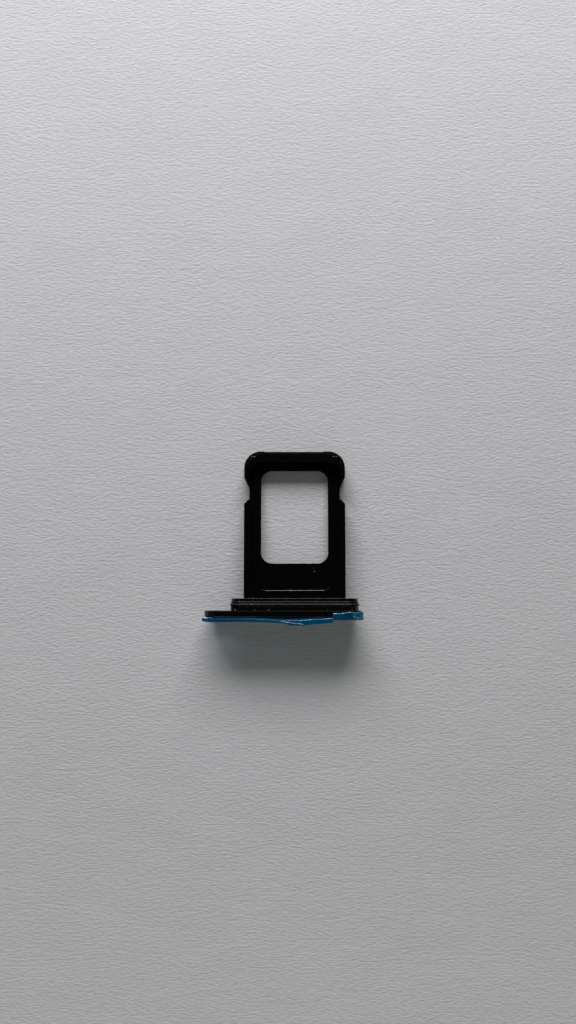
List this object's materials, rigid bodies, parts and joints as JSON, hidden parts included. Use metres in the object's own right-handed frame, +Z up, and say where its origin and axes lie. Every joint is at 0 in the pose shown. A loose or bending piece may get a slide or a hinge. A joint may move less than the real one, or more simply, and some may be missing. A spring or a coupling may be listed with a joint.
{
  "type": "sim card tray",
  "caption": "Flat black metal card tray: a framed pocket with a contact window, side detent notches, a rubber seal ring and a rounded faceplate with an eject pin hole, still under blue film.",
  "frame": {"origin": "on the carrier's middle line, at the seating face of the faceplate, at half the faceplate's height", "axes": "+X along the faceplate towards its short end, +Y from the faceplate to the carrier's inner end, +Z up out of the card pocket"},
  "size_m": [0.0154, 0.0169, 0.003],
  "materials": {
    "black_metal": "black anodised, smooth satin with slightly polished edges",
    "seal_rubber": "moulded black rubber with a faint olive cast",
    "blue_film": "thin glossy see-through blue film, creased"
  },
  "bodies": {
    "root": {"tray_body": "black_metal", "seal_ring": "seal_rubber", "protective_film": "blue_film"}
  },
  "joints": []
}
